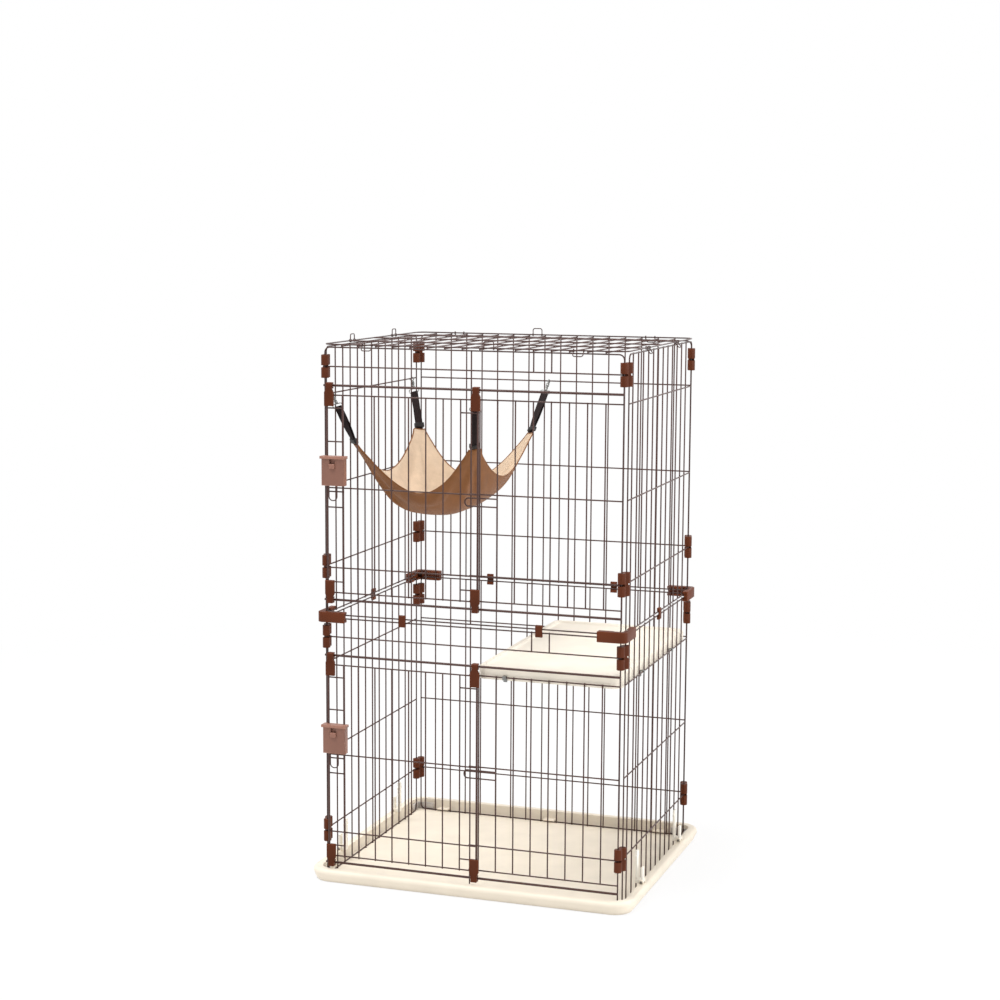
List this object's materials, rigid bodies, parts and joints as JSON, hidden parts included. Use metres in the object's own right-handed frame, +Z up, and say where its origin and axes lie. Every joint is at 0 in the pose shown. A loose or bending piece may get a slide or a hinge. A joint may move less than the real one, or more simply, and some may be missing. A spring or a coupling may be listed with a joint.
{
  "type": "cat cage",
  "caption": "Tiered wire cat cage on a moulded tray, with sliding doors and latches, a shelf board, a hung cloth hammock and a wire roof held down by swinging loops.",
  "frame": {"origin": "on the floor under the middle of the tray", "axes": "+Z up, -Y towards the doors, +X to the right seen from the front"},
  "size_m": [0.716, 0.6154, 1.1624],
  "materials": {
    "wire": "dark brown baked coating, semi-gloss",
    "brown_plastic": "moulded red-brown plastic, fine grain",
    "lock_plastic": "moulded light brown plastic, fine grain",
    "tray_plastic": "moulded cream plastic, satin",
    "shelf_plastic": "moulded cream plastic, satin",
    "socket_plastic": "moulded grey plastic",
    "lever_plastic": "moulded off-white plastic",
    "bright_steel": "zinc-plated",
    "hammock_fabric": "brushed cloth, brown outside and cream inside",
    "webbing": "woven black webbing"
  },
  "bodies": {
    "cage": {"corner_brackets": "brown_plastic", "corner_sockets": "socket_plastic", "hammock_cloth": "hammock_fabric", "hammock_straps": "webbing", "lever_pins": "bright_steel", "lower_back_panel": "wire", "lower_corner_clips": "brown_plastic", "lower_front_panel": "wire", "lower_left_panel": "wire", "lower_right_panel": "wire", "rail_clips": "brown_plastic", "roof_panel": "wire", "shelf": "shelf_plastic", "shelf_hooks": "bright_steel", "snap_hooks": "bright_steel", "tray": "tray_plastic", "upper_back_panel": "wire", "upper_corner_clips": "brown_plastic", "upper_front_panel": "wire", "upper_left_panel": "wire", "upper_right_panel": "wire"},
    "lower_door": {"lower_door_mesh": "wire", "lower_door_runners": "brown_plastic", "lower_lock_case": "lock_plastic"},
    "lower_lock": {"lower_lock_slide": "lock_plastic"},
    "upper_door": {"upper_door_mesh": "wire", "upper_door_runners": "brown_plastic", "upper_lock_case": "lock_plastic"},
    "upper_lock": {"upper_lock_slide": "lock_plastic"},
    "lever_front_right": {"lever_front_right": "lever_plastic"},
    "lever_front_left": {"lever_front_left": "lever_plastic"},
    "lever_back_right": {"lever_back_right": "lever_plastic"},
    "lever_back_left": {"lever_back_left": "lever_plastic"},
    "roof_loop_front_left": {"roof_loop_front_left": "wire"},
    "roof_loop_front_middle": {"roof_loop_front_middle": "wire"},
    "roof_loop_front_right": {"roof_loop_front_right": "wire"},
    "roof_loop_right_front": {"roof_loop_right_front": "wire"},
    "roof_loop_right_back": {"roof_loop_right_back": "wire"},
    "roof_loop_back_right": {"roof_loop_back_right": "wire"},
    "roof_loop_back_middle": {"roof_loop_back_middle": "wire"},
    "roof_loop_back_left": {"roof_loop_back_left": "wire"},
    "roof_loop_left_back": {"roof_loop_left_back": "wire"},
    "roof_loop_left_front": {"roof_loop_left_front": "wire"}
  },
  "joints": [
    {"name": "lower_door_slide", "type": "slide", "parent": "cage", "child": "lower_door", "axis": [1, 0, 0], "range_m": [0, 0.28]},
    {"name": "lower_lock_lift", "type": "slide", "parent": "lower_door", "child": "lower_lock", "axis": [0, 0, 1], "range_m": [0, 0.01]},
    {"name": "upper_door_slide", "type": "slide", "parent": "cage", "child": "upper_door", "axis": [1, 0, 0], "range_m": [0, 0.28]},
    {"name": "upper_lock_lift", "type": "slide", "parent": "upper_door", "child": "upper_lock", "axis": [0, 0, 1], "range_m": [0, 0.01]},
    {"name": "lever_front_right_hinge", "type": "hinge", "parent": "cage", "child": "lever_front_right", "pos_m": [0.344, -0.1588, 0.0323], "axis": [0, 1, 0], "range_deg": [0, 75]},
    {"name": "lever_front_left_hinge", "type": "hinge", "parent": "cage", "child": "lever_front_left", "pos_m": [-0.344, -0.1588, 0.0323], "axis": [0, -1, 0], "range_deg": [0, 75]},
    {"name": "lever_back_right_hinge", "type": "hinge", "parent": "cage", "child": "lever_back_right", "pos_m": [0.344, 0.1588, 0.0323], "axis": [0, 1, 0], "range_deg": [0, 75]},
    {"name": "lever_back_left_hinge", "type": "hinge", "parent": "cage", "child": "lever_back_left", "pos_m": [-0.344, 0.1588, 0.0323], "axis": [0, -1, 0], "range_deg": [0, 75]},
    {"name": "roof_loop_front_left_hinge", "type": "hinge", "parent": "cage", "child": "roof_loop_front_left", "pos_m": [-0.228, -0.27605, 1.1471], "axis": [-1, 0, 0], "range_deg": [0, 145]},
    {"name": "roof_loop_front_middle_hinge", "type": "hinge", "parent": "cage", "child": "roof_loop_front_middle", "pos_m": [0.038, -0.27605, 1.1471], "axis": [-1, 0, 0], "range_deg": [-145, 0]},
    {"name": "roof_loop_front_right_hinge", "type": "hinge", "parent": "cage", "child": "roof_loop_front_right", "pos_m": [0.228, -0.27605, 1.1471], "axis": [-1, 0, 0], "range_deg": [0, 145]},
    {"name": "roof_loop_right_front_hinge", "type": "hinge", "parent": "cage", "child": "roof_loop_right_front", "pos_m": [0.328, -0.1191, 1.1471], "axis": [0, -1, 0], "range_deg": [0, 145]},
    {"name": "roof_loop_right_back_hinge", "type": "hinge", "parent": "cage", "child": "roof_loop_right_back", "pos_m": [0.328, 0.1191, 1.1471], "axis": [0, -1, 0], "range_deg": [0, 145]},
    {"name": "roof_loop_back_right_hinge", "type": "hinge", "parent": "cage", "child": "roof_loop_back_right", "pos_m": [0.228, 0.27605, 1.1471], "axis": [1, 0, 0], "range_deg": [0, 145]},
    {"name": "roof_loop_back_middle_hinge", "type": "hinge", "parent": "cage", "child": "roof_loop_back_middle", "pos_m": [-0.038, 0.27605, 1.1471], "axis": [1, 0, 0], "range_deg": [-145, 0]},
    {"name": "roof_loop_back_left_hinge", "type": "hinge", "parent": "cage", "child": "roof_loop_back_left", "pos_m": [-0.228, 0.27605, 1.1471], "axis": [1, 0, 0], "range_deg": [0, 145]},
    {"name": "roof_loop_left_back_hinge", "type": "hinge", "parent": "cage", "child": "roof_loop_left_back", "pos_m": [-0.328, 0.1191, 1.1471], "axis": [0, 1, 0], "range_deg": [-145, 0]},
    {"name": "roof_loop_left_front_hinge", "type": "hinge", "parent": "cage", "child": "roof_loop_left_front", "pos_m": [-0.328, -0.1191, 1.1471], "axis": [0, 1, 0], "range_deg": [-145, 0]}
  ]
}
